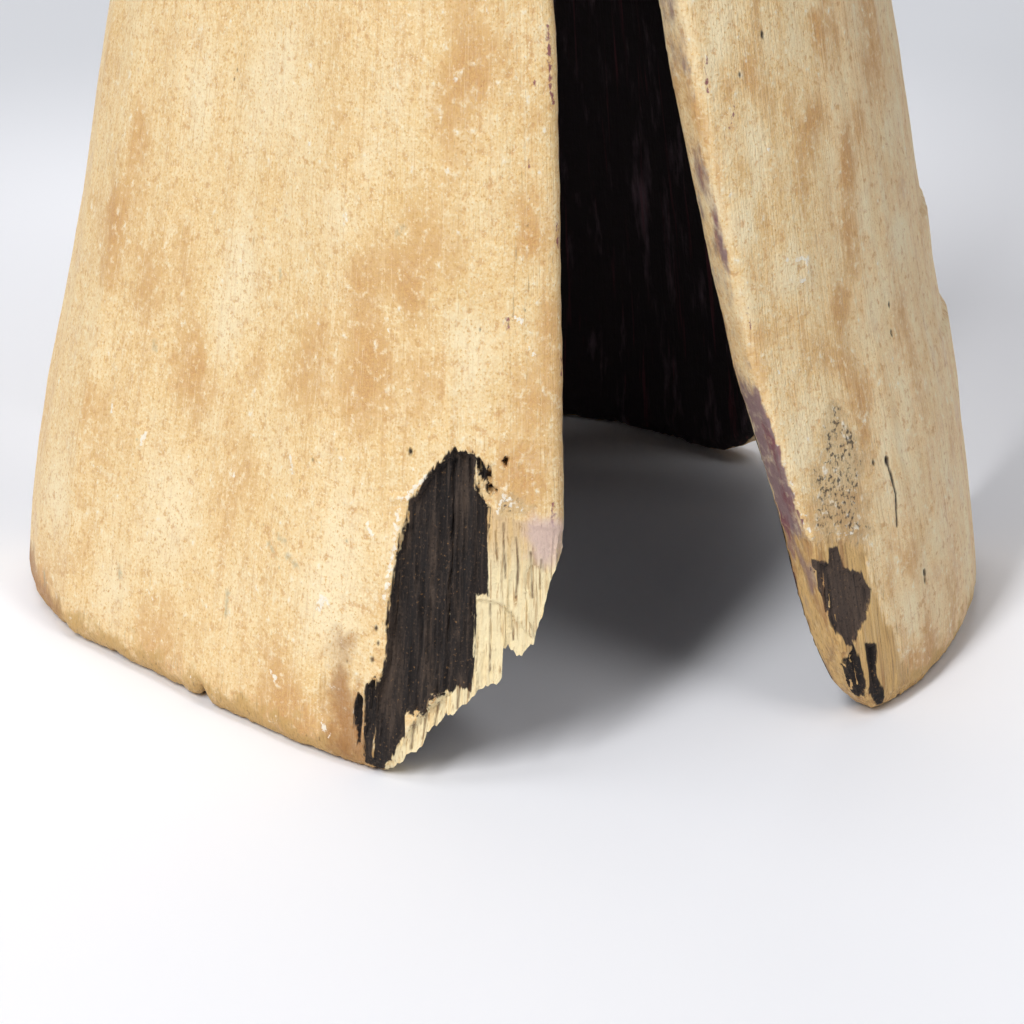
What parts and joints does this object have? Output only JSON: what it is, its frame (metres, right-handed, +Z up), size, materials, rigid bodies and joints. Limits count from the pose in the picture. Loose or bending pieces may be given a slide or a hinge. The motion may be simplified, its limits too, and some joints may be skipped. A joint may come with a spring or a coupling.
{
  "type": "wooden tripod",
  "caption": "Low folding tripod with broad, hollow-backed carved wooden legs hinged under a round head that carries a captive camera screw.",
  "frame": {"origin": "middle of the spread feet on the floor, under the camera screw", "axes": "+Z up along the camera screw, +Y towards the rear leg, the gap seen in the picture on the -Y side"},
  "size_m": [0.2815, 0.2726, 0.451],
  "materials": {
    "leg_wood": "bare, weathered",
    "head_wood": "oiled",
    "brass": "aged",
    "steel": "dull",
    "leather": "matt"
  },
  "bodies": {
    "head": {"head_block": "head_wood", "top_plate": "brass", "plate_screws": "brass", "head_facing": "leather", "hinge_bracket_left": "brass", "hinge_bracket_right": "brass", "hinge_bracket_rear": "brass", "bracket_screws": "brass", "hinge_bolt_left": "steel", "hinge_bolt_right": "steel", "hinge_bolt_rear": "steel", "friction_washers": "leather", "nut_washers": "steel"},
    "screw_set": {"camera_screw": "steel", "camera_knob": "brass", "knob_pin": "steel"},
    "left_leg": {"leg_left": "leg_wood", "leg_socket_left": "brass", "socket_screws_left": "brass"},
    "right_leg": {"leg_right": "leg_wood", "leg_socket_right": "brass", "socket_screws_right": "brass"},
    "rear_leg": {"leg_rear": "leg_wood", "leg_socket_rear": "brass", "socket_screws_rear": "brass"},
    "left_nut": {"wing_nut_left": "brass"},
    "right_nut": {"wing_nut_right": "brass"},
    "rear_nut": {"wing_nut_rear": "brass"}
  },
  "joints": [
    {"name": "left_leg_fold", "type": "hinge", "parent": "head", "child": "left_leg", "pos_m": [-0.05023, -0.029, 0.383], "axis": [0.5, -0.866, 0], "range_deg": [0, 4]},
    {"name": "right_leg_fold", "type": "hinge", "parent": "head", "child": "right_leg", "pos_m": [0.05023, -0.029, 0.383], "axis": [0.5, 0.866, 0], "range_deg": [0, 4]},
    {"name": "rear_leg_fold", "type": "hinge", "parent": "head", "child": "rear_leg", "pos_m": [0, 0.058, 0.383], "axis": [-1, 0, 0], "range_deg": [0, 4]},
    {"name": "left_nut_turn", "type": "hinge", "parent": "head", "child": "left_nut", "pos_m": [-0.05023, -0.029, 0.383], "axis": [0.5, -0.866, 0], "continuous": true},
    {"name": "right_nut_turn", "type": "hinge", "parent": "head", "child": "right_nut", "pos_m": [0.05023, -0.029, 0.383], "axis": [0.5, 0.866, 0], "continuous": true},
    {"name": "rear_nut_turn", "type": "hinge", "parent": "head", "child": "rear_nut", "pos_m": [0, 0.058, 0.383], "axis": [-1, 0, 0], "continuous": true},
    {"name": "screw_turn", "type": "hinge", "parent": "head", "child": "screw_set", "pos_m": [0, 0, 0.4], "axis": [0, 0, 1], "continuous": true}
  ]
}
